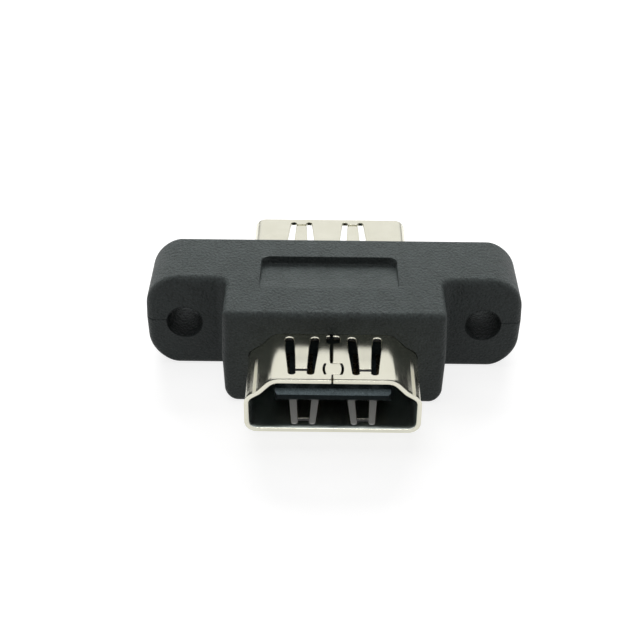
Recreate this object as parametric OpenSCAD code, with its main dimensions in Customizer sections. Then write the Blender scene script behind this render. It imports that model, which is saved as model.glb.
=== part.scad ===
// Panel-mount coupler for audio and video leads: a moulded T-shaped body with two screw ears,
// and a nineteen-way receptacle facing each way. X runs across the ears, Y backwards through the
// panel and Z up. The origin is midway between the screw holes on the panel face of the flange.
// The front receptacle has its narrow side up, and the rear one has its wide side up.

/* [Moulded body] */
// Width across the two screw ears
flange_w = 34.6; // [33.5:0.1:42]
// Thickness of the flange, front to back
flange_t = 7.4; // [6:0.1:10]
// Height of the flange and the block
body_h = 9.6; // [8.8:0.1:12]
// Width of the block in front of the flange
block_w = 19.9; // [18.6:0.1:21.5]
// How far the block stands out from the flange
block_d = 5.8; // [4.5:0.1:8]
// Radius of the ears' ends, seen from the front
ear_r = 3.1; // [1:0.1:3.6]
// Radius of the block's lower corners, seen from the front
block_foot_r = 1.3; // [0.7:0.1:2.5]
// Rounding of the outer edges
edge_r = 0.55; // [0.2:0.05:0.65]
// Radius where the block meets the flange
inner_corner_r = 0.9; // [0.3:0.05:1.2]
// Taper of the mould each way from the parting line, in degrees
draft = 2; // [0:0.1:2.5]
// Height of the parting line above the middle
parting_rise = 0.25; // [-0.4:0.05:0.4]
// Depth of the parting line
parting_depth = 0.04; // [0.02:0.01:0.12]

/* [Screw holes] */
// Distance between the two screw holes
hole_spacing = 27.5; // [25:0.1:28.5]
// Diameter of the screw holes
hole_d = 3.2; // [2.5:0.1:3.6]

/* [Label recess] */
// Width of the recess in the top
label_w = 12.5; // [8:0.1:16]
// Length of the recess, front to back
label_l = 5.3; // [3:0.1:7]
// Depth of the recess at its back wall
label_depth = 0.8; // [0.3:0.05:0.9]
// Distance from the panel face to the back wall of the recess
label_back = 3.4; // [2:0.05:5]
// Radius of the recess's back corners
label_r = 0.9; // [0.3:0.1:1.5]
// How far the recess lies off the middle
label_shift = -0.5; // [-1:0.1:1]

/* [Receptacles] */
// How far the front receptacle stands out from the block
front_reach = 6.7; // [6:0.1:8]
// How far the rear receptacle stands out from the panel face
rear_reach = 7.1; // [6.8:0.1:9]
// How far the front receptacle lies off the middle
front_shift = -0.1; // [-0.4:0.05:0.4]
// How far the rear receptacle lies off the middle
rear_shift = -0.4; // [-0.8:0.05:0.8]
// Height of both receptacles above the middle of the body
socket_rise = 0.1; // [-0.3:0.05:0.3]
// Length of each shell
shell_l = 11.5; // [11:0.1:12.2]
// Thickness of the shell's sheet metal
sheet_t = 0.41; // [0.25:0.01:0.45]
// Rounding of the sheet at the mouth
lip_r = 0.12; // [0.04:0.01:0.12]
// How far the front shell's mouth flares outwards
front_flare = 0.12; // [0:0.01:0.2]
// Length of the flare
flare_l = 0.35; // [0.25:0.05:0.5]
// Width of the opening
opening_w = 14.05; // [13.6:0.05:14.5]
// Height of the opening
opening_h = 4.55; // [4.3:0.05:4.8]
// Width of the opening's narrow side
narrow_w = 10; // [9:0.1:10.5]
// Height of the opening's upright sides
upright_h = 2.8; // [2.4:0.05:3.1]
// How far the shoulder runs inwards before it steepens
shoulder_run = 1; // [0.7:0.05:1.3]
// How far the shoulder rises before it steepens
shoulder_rise = 0.65; // [0.5:0.05:0.8]
// Inner radius of the corners of the wide side
wide_corner_r = 0.55; // [0.3:0.05:0.7]
// Inner radius at the top of the upright sides
shoulder_r = 0.5; // [0.3:0.05:0.7]
// Inner radius where the shoulder steepens
waist_r = 1; // [0.5:0.1:1.4]
// Inner radius of the corners of the narrow side
narrow_corner_r = 1; // [0.5:0.1:1.4]

/* [Shell springs] */
// Distance from the middle to each spring of the narrow side
narrow_spring_x = 2.7; // [2.3:0.05:2.9]
// Distance from the middle to each spring of the wide side
wide_spring_x = 2.55; // [2.3:0.05:2.9]
// How far the springs of the front shell's wide side lie off the middle
front_spring_shift = 0.05; // [-0.3:0.05:0.3]
// How far the springs of the rear shell's wide side lie off the middle
rear_spring_shift = -0.3; // [-0.3:0.05:0.3]
// Width of a spring at its root
spring_root_w = 1.46; // [1.1:0.02:1.6]
// Width of a spring at its tip
spring_tip_w = 0.98; // [0.8:0.02:1.2]
// Length of the slots beside a spring
slot_l = 5.4; // [4.5:0.1:5.8]
// Width of the narrow side's slots at a spring's root
narrow_slot_root_w = 0.8; // [0.5:0.02:0.9]
// Width of the narrow side's slots at a spring's tip
narrow_slot_tip_w = 0.56; // [0.4:0.02:0.7]
// Width of the wide side's slots at a spring's root
wide_slot_root_w = 0.72; // [0.5:0.02:0.9]
// Width of the wide side's slots at a spring's tip
wide_slot_tip_w = 0.52; // [0.4:0.02:0.7]
// Distance from the mouth to the slots on the narrow side
narrow_slot_start = 0.96; // [0.5:0.02:1.1]
// Distance from the mouth to the slots on the wide side
wide_slot_start = 0.5; // [0.4:0.01:1]
// Length of the slots in front of the spring's tip
tip_inset = 0.45; // [0.35:0.05:0.8]
// Width of the cut across the spring's tip
tip_cut = 0.34; // [0.1:0.01:0.4]
// How far the springs bow into the opening
spring_bow = 0.08; // [0.04:0.02:0.4]

/* [Shell seam] */
// Width of the seam behind the lock and round it
seam_w = 0.2; // [0.1:0.01:0.25]
// Width of the seam in front of the lock
front_seam_w = 0.12; // [0.05:0.01:0.2]
// How far the seam lies off the middle behind the lock
rear_seam_x = -0.15; // [-0.25:0.01:0]
// How far the seam lies off the middle in front of the lock
front_seam_x = -0.08; // [-0.25:0.01:0]
// Width of the closed stretches of the seam
seam_joint_w = 0.04; // [0.03:0.01:0.1]
// Distance from the mouth to the middle of the seam's lock
lock_z = 1.75; // [1.4:0.05:2.2]
// Width across the seam's lock
lock_w = 1.6; // [1.3:0.02:1.66]
// Length of the seam's lock
lock_l = 1.6; // [1.2:0.05:1.8]
// How far each side of the lock bulges
lock_bulge = 0.15; // [0.05:0.01:0.3]
// Distance from the mouth to the middle of the hole in the seam
relief_z = 6; // [5:0.05:6.4]
// Width of the hole in the seam
relief_w = 1.18; // [0.8:0.05:1.4]
// Length of the hole in the seam
relief_l = 1.1; // [0.6:0.05:1.4]

/* [Insulators and contacts] */
// Distance from the mouth to the tongue
tongue_recess = 1.3; // [1.05:0.05:1.6]
// Length of the tongue in front of its base
tongue_l = 5.4; // [5.1:0.05:6]
// Width of the tongue
tongue_w = 9.9; // [9.6:0.05:10.6]
// Thickness of the tongue
tongue_t = 1.25; // [1.1:0.05:1.7]
// Bevel round the tongue's front edge
tongue_bevel = 0.4; // [0.15:0.01:0.5]
// Number of contacts in each receptacle
pin_count = 19; // [17:2:19]
// Distance between neighbouring contacts in a row
pin_pitch = 1; // [0.8:0.01:1.02]
// Width of a contact
contact_w = 0.45; // [0.3:0.01:0.5]
// Thickness of a contact
contact_t = 0.2; // [0.12:0.01:0.25]
// Distance from the tongue's front to the contacts
contact_inset = 1.35; // [0.6:0.05:1.6]
// Gap each side of a contact in its channel
contact_gap = 0.02; // [0.01:0.01:0.04]

/* [Circuit board and core] */
// Width of the circuit board
board_w = 12.4; // [11.4:0.1:13.5]
// Gap between the board and each insulator
board_gap = 0.15; // [0.05:0.05:0.3]
// Gap between the two rows of contact tails on the board
tail_gap = 1.2; // [0.6:0.1:1.6]
// Body wall in front of and behind the core
core_wall_y = 1.8; // [1.2:0.1:2.4]
// Core wall round the shells
core_margin = 0.45; // [0.3:0.05:0.5]

/* [Hidden] */
// Steps of a rounded edge, the flare, an ear's end, half a lock's side and a spring, and sides of a bore
steps = 4;
flare_steps = 3;
ear_steps = 5;
lock_steps = 4;
bow_steps = 12;
bore_faces = 64;
// How far a cut runs past a face, and the half height of the parting line's groove
overlap = 0.05;
parting_half_h = 0.05;
// Radius of a slot's ends as a share of its width, a little under a half
end_share = 0.48;
// Radius of an outline's sharp corners, and of the body's upright corners, which stay round at the top
sharp_r = 0.02;
corner_r = edge_r + (body_h / 2 + abs(parting_rise)) * tan(draft) + 2 * sharp_r;
// The slots' widths at a spring's root and tip
narrow_slot_w = [narrow_slot_root_w, narrow_slot_tip_w];
wide_slot_w = [wide_slot_root_w, wide_slot_tip_w];
// Radius of the lock's sides, from its length and bulge
lock_r = (lock_l * lock_l / 4 + lock_bulge * lock_bulge) / (2 * lock_bulge);

front_face = flange_t + block_d;
front_mouth = front_face + front_reach;
shell_w = opening_w + 2 * sheet_t;
shell_h = opening_h + 2 * sheet_t;
base_z = tongue_recess + tongue_l;
contact_z = tongue_recess + contact_inset;
board_l = front_mouth + rear_reach - 2 * shell_l - 2 * board_gap;
board_t = tongue_t - 2 * contact_t;
board_x = (front_shift + rear_shift) / 2;
board_y = (rear_reach - front_mouth) / 2;
tail_l = board_gap + (board_l - tail_gap) / 2;
core_w = shell_w + 2 * core_margin + 2 * max(abs(front_shift), abs(rear_shift));
core_h = shell_h + 2 * core_margin + 2 * abs(socket_rise);
core_l = front_face - 2 * core_wall_y;

plastic = [0.13, 0.14, 0.14];
core_plastic = [0.3, 0.31, 0.32];
insulator_plastic = [0.05, 0.05, 0.06];
nickel = [0.8, 0.79, 0.75];
gilt = [0.86, 0.68, 0.32];
laminate = [0.1, 0.36, 0.2];

// Outlines run counter-clockwise, so a step to the right of an edge points out of the outline
function unit(v) = v / norm(v);
function outward(edge) = [unit(edge)[1], -unit(edge)[0]];

// The rounded corner b between the edges from a and to c, moved outwards by d
function corner_arc(a, b, c, r, d) =
    let (
        n1 = outward(b - a),
        n2 = outward(c - b),
        bend = sign(cross(b - a, c - b)),
        turn = acos(n1 * n2),
        centre = b - bend * r * (n1 + n2) / (1 + n1 * n2),
        start = atan2(n1[1], n1[0])
    )
    [
        for (k = [0 : steps])
            let (g = start + bend * turn * k / steps)
                centre + (bend * r + d) * [cos(g), sin(g)]
    ];

// An outline with a radius at each corner, moved outwards by d
function outline(corners, radii, d = 0) =
    let (m = len(corners))
    [
        for (i = [0 : m - 1])
            each corner_arc(corners[(i + m - 1) % m], corners[i], corners[(i + 1) % m], radii[i], d)
    ];

// An outline as a ring of points at height z
function ring(points, z) = [for (p = points) [p[0], p[1], z]];

// A solid through rings of equally many points, joined in a loop or capped at both ends. The caps are
// faces of one ring's point numbers, counter-clockwise.
module ring_solid(rings, caps = []) {
    joined = len(caps) == 0;
    m = len(rings);
    n = len(rings[0]);
    last = joined ? m - 1 : m - 2;
    sides = [
        for (k = [0 : last])
            for (i = [0 : n - 1])
                [
                    k * n + i,
                    (k + 1) % m * n + i,
                    (k + 1) % m * n + (i + 1) % n,
                    k * n + (i + 1) % n
                ]
    ];
    ends = [
        for (face = caps)
            each [face, [for (k = [len(face) - 1 : -1 : 0]) (m - 1) * n + face[k]]]
    ];
    polyhedron([for (r = rings) each r], concat(sides, ends));
}

// How far a rounded edge of radius r has fallen away at height z of the body
function fall(r, z) =
    let (past = max(0, abs(z) - (body_h / 2 - r)))
        r - sqrt(max(0, r * r - past * past));

// How far the mould's taper and the parting line's groove draw the sides in at height z
function taper(z) = abs(z - parting_rise) * tan(draft) + (z == parting_rise ? parting_depth : 0);

// The body's outline from above at height z: the T of the ears and the block. The panel face is put
// back by the taper, so that it lies flat on a panel.
function body_corners(z) =
    let (
        back = taper(z),
        ear = flange_w / 2 - fall(ear_r, z) + fall(edge_r, z),
        block = block_w / 2 - fall(z < 0 ? block_foot_r : edge_r, z) + fall(edge_r, z)
    )
    [
        [ear, back], [-ear, back], [-ear, -flange_t], [-block, -flange_t],
        [-block, -front_face], [block, -front_face], [block, -flange_t], [ear, -flange_t]
    ];

body_radii = [
    corner_r, corner_r, corner_r, inner_corner_r,
    corner_r, corner_r, inner_corner_r, corner_r
];

function body_ring(z) = ring(outline(body_corners(z), body_radii, -fall(edge_r, z) - taper(z)), z);

// The top and bottom of the T: the bar of the ears, a strip for each step of the two inner corners,
// and the block in front of them
arc_points = steps + 1;
body_caps = concat(
    [concat([for (i = [0 : 3 * arc_points]) i], [for (i = [7 * arc_points - 1 : 8 * arc_points - 1]) i])],
    [
        for (k = [0 : steps - 1])
            [
                3 * arc_points + k,
                3 * arc_points + k + 1,
                7 * arc_points - 2 - k,
                7 * arc_points - 1 - k
            ]
    ],
    [[for (i = [4 * arc_points - 1 : 6 * arc_points]) i]]
);

// Heights of the rings: up the ears' ends and round the top edge, and the same mirrored below
ear_top = asin((ear_r - edge_r) / ear_r);
upper_levels = concat(
    [for (k = [0 : ear_steps - 1]) body_h / 2 - ear_r + ear_r * sin(ear_top * k / ear_steps)],
    [for (k = [0 : steps]) body_h / 2 - edge_r + edge_r * sin(90 * k / steps)]
);
body_levels = concat(
    [for (k = [len(upper_levels) - 1 : -1 : 0]) -upper_levels[k]],
    [parting_rise - parting_half_h, parting_rise, parting_rise + parting_half_h],
    upper_levels
);

// The recess has an upright back wall, and its floor climbs to the top of the body at the front
module label_recess() {
    back = -label_back;
    front = back - label_l;
    plan = [
        [label_w / 2, back], [-label_w / 2, back],
        [-label_w / 2, front - overlap], [label_w / 2, front - overlap]
    ];
    translate([label_shift, 0, 0])
        intersection() {
            translate([0, 0, body_h / 2 - label_depth])
                linear_extrude(2 * label_depth)
                    polygon(outline(plan, [label_r, label_r, sharp_r, sharp_r]));
            rotate([90, 0, 90])
                linear_extrude(label_w, center = true)
                    polygon([
                        [back + overlap, body_h / 2 - label_depth],
                        [back + overlap, body_h / 2 + label_depth],
                        [front, body_h / 2 + label_depth],
                        [front, body_h / 2],
                        [back, body_h / 2 - label_depth]
                    ]);
        }
}

module screw_holes() {
    for (x = [-hole_spacing / 2, hole_spacing / 2])
        translate([x, overlap, 0])
            rotate([90, 0, 0])
                cylinder(d = hole_d, h = flange_t + 2 * overlap, $fn = bore_faces);
}

// The core's block, which the body is moulded round
module core_block() {
    translate([-core_w / 2, -front_face + core_wall_y, -core_h / 2])
        cube([core_w, core_l, core_h]);
}

// Places a receptacle part, drawn with its mouth at z = 0 and its narrow side at +Y
module at_front() {
    translate([front_shift, -front_mouth, socket_rise])
        rotate([90, 0, 0])
            children();
}

module at_rear() {
    translate([rear_shift, rear_reach, socket_rise])
        rotate([-90, 0, 0])
            children();
}

// The opening's outline: wide side below, upright sides, and shoulders up to the narrow side
half_w = opening_w / 2;
half_h = opening_h / 2;
shoulder_y = upright_h - half_h;
opening_corners = [
    [-half_w, -half_h],
    [half_w, -half_h],
    [half_w, shoulder_y],
    [half_w - shoulder_run, shoulder_y + shoulder_rise],
    [narrow_w / 2, half_h],
    [-narrow_w / 2, half_h],
    [-half_w + shoulder_run, shoulder_y + shoulder_rise],
    [-half_w, shoulder_y]
];
opening_radii = [
    wide_corner_r, wide_corner_r, shoulder_r, waist_r,
    narrow_corner_r, narrow_corner_r, waist_r, shoulder_r
];

// All the space that a shell takes, filled in
module shell_envelope() {
    translate([0, 0, -shell_l])
        linear_extrude(shell_l)
            polygon(outline(opening_corners, opening_radii, sheet_t));
}

// Depths behind the mouth at which the flare is drawn, from its start to the rounded lip
flare_depths = [for (k = [0 : flare_steps - 1]) flare_l + (lip_r - flare_l) * k / flare_steps];

// The sheet's section as offset from the opening and height: out along the outside, round the lip at
// the mouth, and back along the inside. The flare moves it outwards towards the mouth.
function flat_section(flare) = concat(
    [[sheet_t, -shell_l]],
    flare > 0 ? [for (depth = flare_depths) [sheet_t, -depth]] : [],
    [
        for (k = [0 : steps])
            [sheet_t - lip_r + lip_r * cos(90 * k / steps), -lip_r + lip_r * sin(90 * k / steps)]
    ],
    [
        for (k = [0 : steps])
            [lip_r - lip_r * sin(90 * k / steps), -lip_r + lip_r * cos(90 * k / steps)]
    ],
    flare > 0 ? [for (k = [flare_steps - 1 : -1 : 0]) [0, -flare_depths[k]]] : [],
    [[0, -shell_l]]
);

function shell_section(flare) = [
    for (p = flat_section(flare))
        [p[0] + flare * pow(max(0, 1 + p[1] / flare_l), 2), p[1]]
];

// Cuts a plan of X and Z through the narrow wall
module through_wall() {
    translate([0, half_h + sheet_t + front_flare + overlap, 0])
        rotate([90, 0, 0])
            linear_extrude(sheet_t + front_flare + 2 * overlap)
                children();
}

// One slot beside a spring, with round ends
module slot_plan(side, start, slot_w) {
    root_x = side * (spring_root_w + slot_w[0]) / 2;
    tip_x = side * (spring_tip_w + slot_w[1]) / 2;
    root_r = end_share * slot_w[0];
    tip_r = end_share * slot_w[1];
    polygon(outline(
        [
            [root_x - slot_w[0] / 2, -start - slot_l],
            [root_x + slot_w[0] / 2, -start - slot_l],
            [tip_x + slot_w[1] / 2, -start],
            [tip_x - slot_w[1] / 2, -start]
        ],
        [root_r, root_r, tip_r, tip_r]
    ));
}

// The spring from above, from its root to the depth given behind the mouth
module spring_plan(start, back, front) {
    slope = (spring_root_w - spring_tip_w) / slot_l;
    back_w = spring_tip_w + slope * (back - start);
    front_w = spring_tip_w + slope * (front - start);
    polygon([
        [-back_w / 2, -back],
        [back_w / 2, -back],
        [front_w / 2, -front],
        [-front_w / 2, -front]
    ]);
}

// What is cut from the wall round one spring
module spring_window(start, slot_w) {
    tip = start + tip_inset;
    root = start + slot_l - slot_w[0] / 2;
    through_wall() {
        slot_plan(-1, start, slot_w);
        slot_plan(1, start, slot_w);
        spring_plan(start, root, tip);
    }
}

// One spring: a strip of the sheet that leaves the wall at its root and bows into the opening
module spring(start, slot_w) {
    tip = start + tip_inset + tip_cut;
    root = start + slot_l - slot_w[0] / 2;
    path = [
        for (k = [0 : bow_steps])
            let (t = k / bow_steps)
                [-root + (root - tip) * t, half_h - spring_bow * (1 - cos(360 * t)) / 2]
    ];
    intersection() {
        translate([0, half_h + 2 * sheet_t, 0])
            rotate([90, 0, 0])
                linear_extrude(4 * sheet_t + spring_bow)
                    spring_plan(start, root + slot_w[0] / 2, tip);
        rotate([0, -90, 0])
            linear_extrude(2 * spring_root_w, center = true)
                polygon(concat(
                    [[-root - slot_w[0], half_h]],
                    path,
                    [for (k = [bow_steps : -1 : 0]) path[k] + [0, sheet_t]],
                    [[-root - slot_w[0], half_h + sheet_t]]
                ));
    }
}

// One side of the lock: a slit of width w along an arc
module lock_arc(side, w) {
    half_angle = asin(lock_l / 2 / lock_r);
    centre_x = lock_w / 2 - lock_r;
    angles = [for (k = [-lock_steps : lock_steps]) half_angle * k / lock_steps];
    points = concat(
        [for (a = angles) [centre_x, 0] + (lock_r + w / 2) * [cos(a), sin(a)]],
        [for (a = angles) [centre_x, 0] + (lock_r - w / 2) * [cos(a), -sin(a)]]
    );
    translate([0, -lock_z])
        polygon([for (p = points) [side * p[0], p[1]]]);
}

// The seam where the folded sheet meets itself: open behind, locked by a tab, and open in front
module seam_plan() {
    lock_end = lock_l / 2;
    lock_side = lock_w / 2 - lock_bulge;
    relief_r = end_share * relief_l;
    translate([rear_seam_x - seam_w / 2, -shell_l - overlap])
        square([seam_w, shell_l + overlap - lock_z - lock_end]);
    translate([rear_seam_x, -lock_z - lock_end - seam_joint_w / 2])
        square([lock_side - rear_seam_x, seam_joint_w]);
    lock_arc(1, seam_w);
    lock_arc(-1, seam_w);
    translate([front_seam_x, -lock_z + lock_end - seam_joint_w / 2])
        square([lock_side - front_seam_x, seam_joint_w]);
    translate([front_seam_x - front_seam_w / 2, -lock_z + lock_end - seam_joint_w / 2])
        square([front_seam_w, lock_z - lock_end + seam_joint_w / 2 + overlap]);
    translate([0, -relief_z])
        polygon(outline(
            [
                [-relief_w / 2, -relief_l / 2], [relief_w / 2, -relief_l / 2],
                [relief_w / 2, relief_l / 2], [-relief_w / 2, relief_l / 2]
            ],
            [relief_r, relief_r, relief_r, relief_r]
        ));
}

// The shell: one folded sheet, with two springs in each flat wall and the seam on the narrow side
module shell(spring_shift, flare) {
    section = shell_section(flare);
    difference() {
        ring_solid([for (p = section) ring(outline(opening_corners, opening_radii, p[0]), p[1])]);
        for (side = [-1, 1]) {
            translate([side * narrow_spring_x, 0, 0])
                spring_window(narrow_slot_start, narrow_slot_w);
            translate([side * wide_spring_x + spring_shift, 0, 0])
                mirror([0, 1, 0])
                    spring_window(wide_slot_start, wide_slot_w);
        }
        through_wall()
            seam_plan();
    }
    for (side = [-1, 1]) {
        translate([side * narrow_spring_x, 0, 0])
            spring(narrow_slot_start, narrow_slot_w);
        translate([side * wide_spring_x + spring_shift, 0, 0])
            mirror([0, 1, 0])
                spring(wide_slot_start, wide_slot_w);
    }
}

// Odd contacts lie on the tongue's wide side and even ones on its narrow side, half a pitch on
function contact_x(pin) = (pin - (pin_count + 1) / 2) * pin_pitch / 2;
function contact_side(pin) = pin % 2 == 1 ? -1 : 1;

// The channel that a contact lies in, along the tongue and through the base
module contact_channel(pin) {
    floor_y = tongue_t / 2 - contact_t;
    mirror([0, contact_side(pin) < 0 ? 1 : 0, 0])
        translate([contact_x(pin) - contact_w / 2 - contact_gap, floor_y, -shell_l - overlap])
            cube([
                contact_w + 2 * contact_gap,
                contact_t + contact_gap,
                shell_l + overlap - contact_z + contact_gap
            ]);
}

// A contact: a flat strip along the tongue, with a bevelled nose and a tail on the board
module contact(pin) {
    floor_y = tongue_t / 2 - contact_t;
    nose = contact_t / 2;
    mirror([0, contact_side(pin) < 0 ? 1 : 0, 0])
        translate([contact_x(pin), 0, 0])
            rotate([0, -90, 0])
                linear_extrude(contact_w, center = true)
                    polygon([
                        [-shell_l - tail_l, floor_y],
                        [-contact_z, floor_y],
                        [-contact_z, floor_y + nose],
                        [-contact_z - nose, floor_y + contact_t],
                        [-shell_l - tail_l, floor_y + contact_t]
                    ]);
}

// The insulator: a base that fills the back of the shell, and the tongue that carries the contacts
module insulator() {
    half_t = tongue_t / 2;
    tip = -tongue_recess;
    difference() {
        union() {
            translate([0, 0, -shell_l])
                linear_extrude(shell_l - base_z)
                    polygon(outline(opening_corners, opening_radii));
            intersection() {
                rotate([0, -90, 0])
                    linear_extrude(tongue_w, center = true)
                        polygon([
                            [-base_z - overlap, -half_t],
                            [tip - tongue_bevel, -half_t],
                            [tip, -half_t + tongue_bevel],
                            [tip, half_t - tongue_bevel],
                            [tip - tongue_bevel, half_t],
                            [-base_z - overlap, half_t]
                        ]);
                translate([0, half_t, 0])
                    rotate([90, 0, 0])
                        linear_extrude(tongue_t)
                            polygon([
                                [-tongue_w / 2, -base_z - overlap],
                                [tongue_w / 2, -base_z - overlap],
                                [tongue_w / 2, tip - tongue_bevel / 2],
                                [tongue_w / 2 - tongue_bevel / 2, tip],
                                [-tongue_w / 2 + tongue_bevel / 2, tip],
                                [-tongue_w / 2, tip - tongue_bevel / 2]
                            ]);
            }
        }
        for (pin = [1 : pin_count])
            contact_channel(pin);
    }
}

// The space between the two insulators, which holds the board and the contact tails
module board_pocket() {
    pocket_l = board_l + 2 * board_gap;
    translate([board_x - board_w / 2, board_y - pocket_l / 2, socket_rise - tongue_t / 2])
        cube([board_w, pocket_l, tongue_t]);
}

module housing() {
    color(plastic)
        difference() {
            ring_solid([for (z = body_levels) body_ring(z)], body_caps);
            screw_holes();
            label_recess();
            core_block();
            at_front() shell_envelope();
            at_rear() shell_envelope();
        }
}

module core() {
    color(core_plastic)
        difference() {
            core_block();
            at_front() shell_envelope();
            at_rear() shell_envelope();
            board_pocket();
        }
}

module front_shell() {
    color(nickel) at_front() shell(front_spring_shift, front_flare);
}

module rear_shell() {
    color(nickel) at_rear() shell(rear_spring_shift, 0);
}

module front_insulator() {
    color(insulator_plastic) at_front() insulator();
}

module rear_insulator() {
    color(insulator_plastic) at_rear() insulator();
}

module circuit_board() {
    color(laminate)
        translate([board_x - board_w / 2, board_y - board_l / 2, socket_rise - board_t / 2])
            cube([board_w, board_l, board_t]);
}

module front_contact(pin) {
    color(gilt) at_front() contact(pin);
}

module rear_contact(pin) {
    color(gilt) at_rear() contact(pin);
}

housing();
core();
front_shell();
rear_shell();
front_insulator();
rear_insulator();
circuit_board();
for (pin = [1 : pin_count]) {
    front_contact(pin);
    rear_contact(pin);
}
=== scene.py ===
"""Looks of a panel-mount coupler: a textured black body with two nickel-plated receptacles."""
import bisect
import math

import bmesh
import bpy
from mathutils import Matrix, Vector
from mathutils.geometry import delaunay_2d_cdt


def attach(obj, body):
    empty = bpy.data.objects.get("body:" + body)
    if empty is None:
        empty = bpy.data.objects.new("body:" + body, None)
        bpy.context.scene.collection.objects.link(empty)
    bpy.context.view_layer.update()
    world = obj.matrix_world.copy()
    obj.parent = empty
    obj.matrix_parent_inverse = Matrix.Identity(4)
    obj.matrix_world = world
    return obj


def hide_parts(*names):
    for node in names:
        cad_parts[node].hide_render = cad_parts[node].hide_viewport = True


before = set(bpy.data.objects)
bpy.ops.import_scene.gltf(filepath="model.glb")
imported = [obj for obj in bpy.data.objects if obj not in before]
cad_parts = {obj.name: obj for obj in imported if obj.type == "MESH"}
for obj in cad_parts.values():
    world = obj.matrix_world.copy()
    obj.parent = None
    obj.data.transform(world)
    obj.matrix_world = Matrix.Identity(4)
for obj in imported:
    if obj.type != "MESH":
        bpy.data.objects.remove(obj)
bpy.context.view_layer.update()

# Sizes of the part in millimetres, as in its source
MM = 0.001
FLANGE_W, FLANGE_T, BODY_H = 34.6, 7.4, 9.6
BLOCK_W, BLOCK_D = 19.9, 5.8
EAR_R, BLOCK_FOOT_R, EDGE_R = 3.1, 1.3, 0.55
DRAFT, INNER_CORNER_R = math.radians(2), 0.9
PARTING_RISE, PARTING_DEPTH, PARTING_HALF_H = 0.25, 0.04, 0.05
SHARP_R = 0.02
CORNER_R = EDGE_R + (BODY_H / 2 + abs(PARTING_RISE)) * math.tan(DRAFT) + 2 * SHARP_R
HOLE_SPACING, HOLE_R = 27.5, 1.6
LABEL_W, LABEL_L, LABEL_DEPTH, LABEL_BACK = 12.5, 5.3, 0.8, 3.4
LABEL_R, LABEL_SHIFT = 0.9, -0.5
FRONT_REACH, REAR_REACH, SOCKET_RISE = 6.7, 7.1, 0.1
FRONT_SHIFT, REAR_SHIFT = -0.1, -0.4
SHELL_L, SHEET_T = 11.5, 0.41
FRONT_FLARE, FLARE_L = 0.12, 0.35
OPENING_W, OPENING_H, NARROW_W, UPRIGHT_H = 14.05, 4.55, 10.0, 2.8
SHOULDER_RUN, SHOULDER_RISE = 1.0, 0.65
WIDE_CORNER_R, SHOULDER_R, WAIST_R, NARROW_CORNER_R = 0.55, 0.5, 1.0, 1.0
NARROW_SPRING_X, WIDE_SPRING_X = 2.7, 2.55
FRONT_SPRING_SHIFT, REAR_SPRING_SHIFT = 0.05, -0.3
SPRING_ROOT_W, SPRING_TIP_W, SPRING_BOW = 1.46, 0.98, 0.08
SLOT_L, NARROW_SLOT_W, WIDE_SLOT_W = 5.4, (0.8, 0.56), (0.72, 0.52)
NARROW_SLOT_START, WIDE_SLOT_START = 0.96, 0.5
TIP_INSET, TIP_CUT = 0.45, 0.34
SEAM_W, FRONT_SEAM_W, SEAM_JOINT_W = 0.2, 0.12, 0.04
REAR_SEAM_X, FRONT_SEAM_X = -0.15, -0.08
LOCK_Z, LOCK_W, LOCK_L, LOCK_BULGE = 1.75, 1.6, 1.6, 0.15
LOCK_R = (LOCK_L ** 2 / 4 + LOCK_BULGE ** 2) / (2 * LOCK_BULGE)
RELIEF_Z, RELIEF_W, RELIEF_L = 6.0, 1.18, 1.1
END_SHARE = 0.48
CORE_WALL_Y, CORE_MARGIN = 1.8, 0.45
FRONT_FACE = FLANGE_T + BLOCK_D
FRONT_MOUTH = FRONT_FACE + FRONT_REACH


# ---- plane geometry ----
def unit(v):
    return v / v.length


def outward(edge):
    return Vector((edge.y, -edge.x)).normalized()


def neighbours(loop):
    """Each point of a closed loop between the one before and the one after it."""
    return zip(loop[-1:] + loop[:-1], loop, loop[1:] + loop[:1])


def corner(a, b, c, r):
    """The arc of radius r that rounds the corner b between a and c.

    Gives its bend (1 to the left, -1 to the right), turn, centre and first and last normal.
    """
    n1, n2 = outward(b - a), outward(c - b)
    bend = 1 if (b - a).cross(c - b) > 0 else -1
    turn = math.acos(max(-1.0, min(1.0, n1.dot(n2))))
    return bend, turn, b - bend * r * (n1 + n2) / (1 + n1.dot(n2)), n1, n2


def corner_arc(a, b, c, r, d, steps):
    """The rounded corner b of an anticlockwise outline, moved outwards by d."""
    bend, turn, centre, n1, n2 = corner(a, b, c, r)
    if r == 0:
        return [b + d * (n1 + n2) / (1 + n1.dot(n2))]
    start = math.atan2(n1.y, n1.x)
    points = []
    for k in range(steps + 1):
        g = start + bend * turn * k / steps
        points.append(centre + (bend * r + d) * Vector((math.cos(g), math.sin(g))))
    return points


def outline(corners, radii, d=0.0, steps=8):
    """An anticlockwise outline with rounded corners, moved outwards by d."""
    ring = []
    for (a, b, c), r in zip(neighbours([Vector(p) for p in corners]), radii):
        ring += corner_arc(a, b, c, r, d, steps)
    return ring


def mesh_object(name, verts, faces):
    """A mesh object from points in millimetres."""
    mesh = bpy.data.meshes.new(name)
    mesh.from_pydata([Vector(v) * MM for v in verts], [], faces)
    mesh.validate()
    piece = bpy.data.objects.new(name, mesh)
    bpy.context.scene.collection.objects.link(piece)
    return piece


def ring_mesh(name, rings):
    """A closed solid through rings of equally many points, with a flat cap at each end."""
    n = len(rings[0])
    verts = [p for ring in rings for p in ring]
    faces = [
        [k * n + i, k * n + (i + 1) % n, (k + 1) * n + (i + 1) % n, (k + 1) * n + i]
        for k in range(len(rings) - 1)
        for i in range(n)
    ]
    faces += [list(range(n - 1, -1, -1)), [(len(rings) - 1) * n + i for i in range(n)]]
    piece = mesh_object(name, verts, faces)
    clean(piece)
    return piece


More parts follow.
